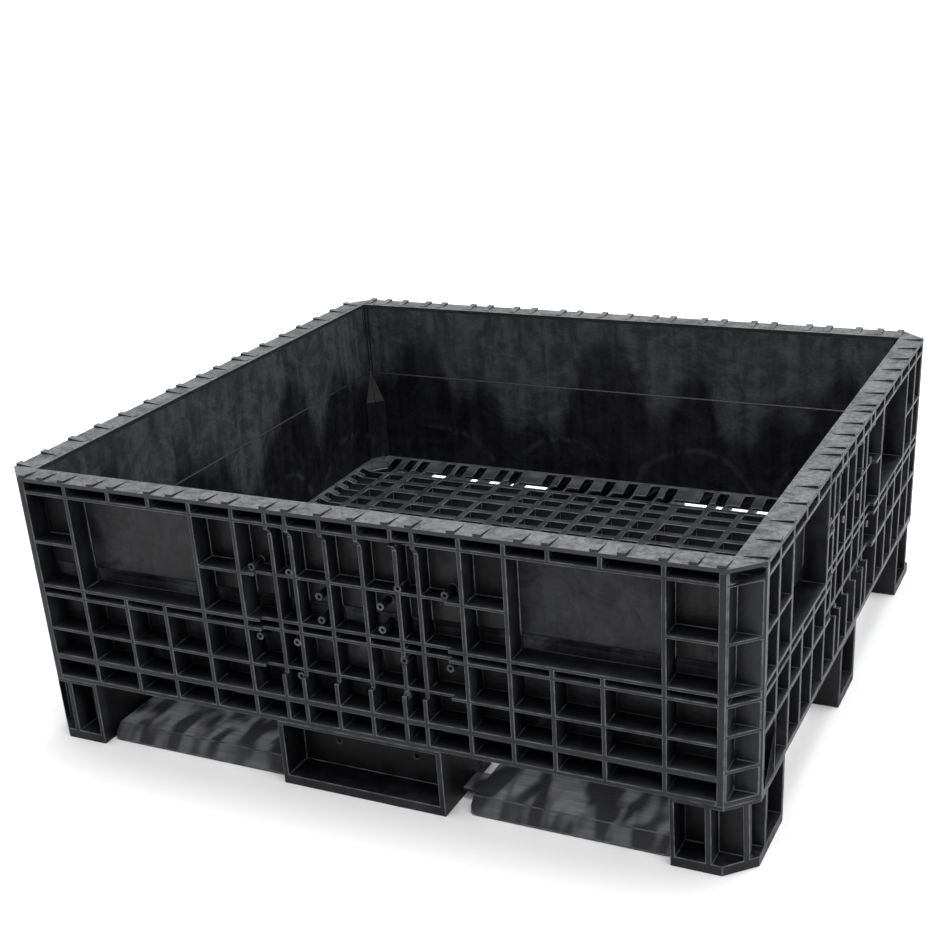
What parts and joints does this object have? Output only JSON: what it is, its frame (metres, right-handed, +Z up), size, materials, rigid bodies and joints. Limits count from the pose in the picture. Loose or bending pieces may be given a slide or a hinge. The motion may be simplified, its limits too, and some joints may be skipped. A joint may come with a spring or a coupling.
{
  "type": "plastic pallet with fixed walls",
  "caption": "Plastic pallet with low fixed ribbed walls, an open grid floor, fork openings on every side and skid runners between its feet.",
  "frame": {"origin": "on the ground under the middle of the pallet, at the centre of its footprint", "axes": "+X along the long side to the right, +Y from the front to the rear, +Z up"},
  "size_m": [1.219, 1.143, 0.465],
  "materials": {
    "container_plastic": "matt, cloudy recycled polyethylene with scuffed edges",
    "runner_plastic": "matt polyethylene, rubbed lighter on top",
    "screw_steel": "zinc-plated, dull"
  },
  "bodies": {
    "root": {"floor_deck": "container_plastic", "wall_front": "container_plastic", "wall_rear": "container_plastic", "wall_left": "container_plastic", "wall_right": "container_plastic", "corner_post_front_left": "container_plastic", "corner_post_front_right": "container_plastic", "corner_post_rear_left": "container_plastic", "corner_post_rear_right": "container_plastic", "top_rim": "container_plastic", "foot_front_left": "container_plastic", "foot_front_middle": "container_plastic", "foot_front_right": "container_plastic", "foot_left_middle": "container_plastic", "foot_centre": "container_plastic", "foot_right_middle": "container_plastic", "foot_rear_left": "container_plastic", "foot_rear_middle": "container_plastic", "foot_rear_right": "container_plastic", "runner_front_left": "runner_plastic", "runner_front_right": "runner_plastic", "runner_middle_left": "runner_plastic", "runner_middle_right": "runner_plastic", "runner_rear_left": "runner_plastic", "runner_rear_right": "runner_plastic", "runner_screws": "screw_steel"}
  },
  "joints": []
}
